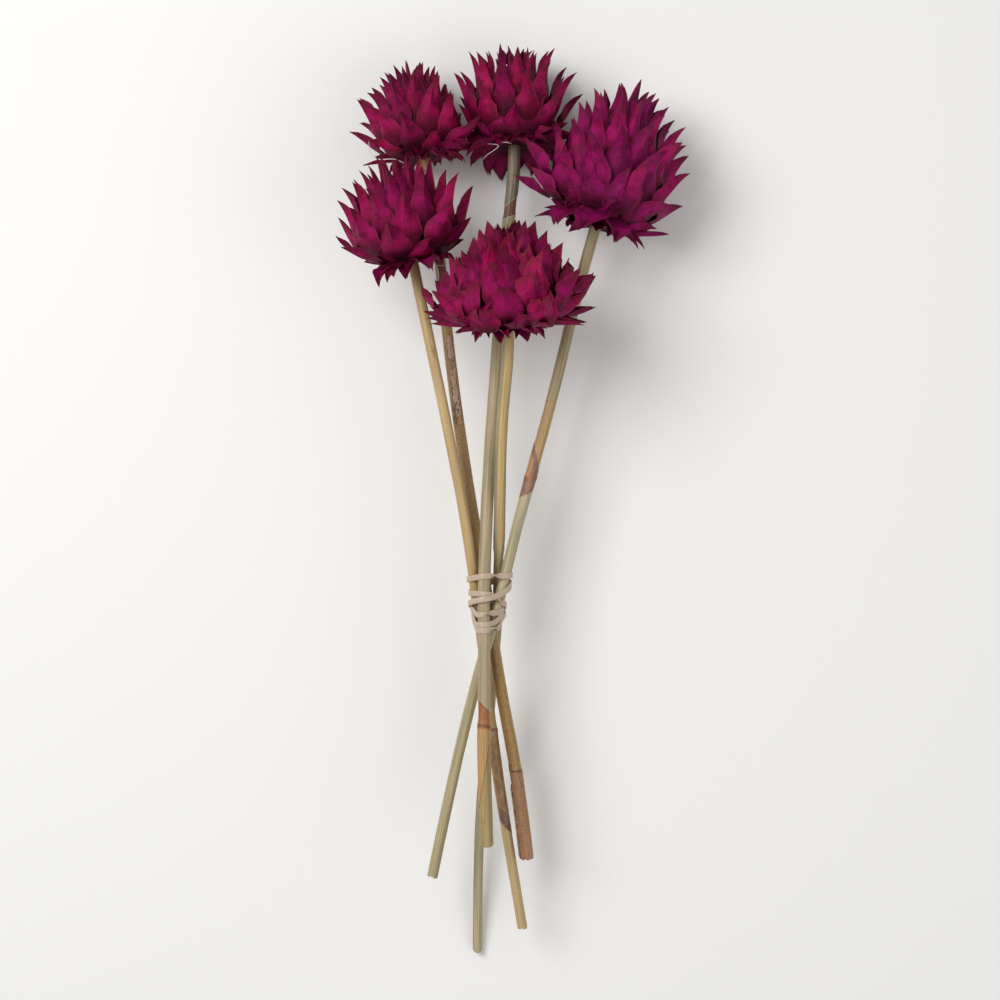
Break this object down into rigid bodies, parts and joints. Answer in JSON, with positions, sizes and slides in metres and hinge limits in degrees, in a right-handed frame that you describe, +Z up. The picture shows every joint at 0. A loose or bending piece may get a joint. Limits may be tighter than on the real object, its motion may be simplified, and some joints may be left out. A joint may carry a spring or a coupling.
{
  "type": "tied bunch of dried artichoke heads",
  "caption": "Bunch of dyed dried artichoke heads with pointed overlapping bracts on reed stems, held by a wound rubber band and laid on its side.",
  "frame": {"origin": "on the surface that the bunch lies on, under the middle of its bounding box", "axes": "+Y from the cut ends of the stems towards the heads, +X to the right seen from above, +Z up"},
  "size_m": [0.1958, 0.5086, 0.1331],
  "materials": {
    "dyed_bracts": "matt dyed dried bracts",
    "reed": "dry reed, slightly glossy",
    "natural_rubber": "satin natural rubber"
  },
  "bodies": {
    "root": {"head_back_left": "dyed_bracts", "head_back_middle": "dyed_bracts", "head_right": "dyed_bracts", "head_front_left": "dyed_bracts", "head_front_middle": "dyed_bracts", "stem_back_left": "reed", "stem_back_middle": "reed", "stem_right": "reed", "stem_front_left": "reed", "stem_front_middle": "reed", "rubber_band": "natural_rubber"}
  },
  "joints": []
}
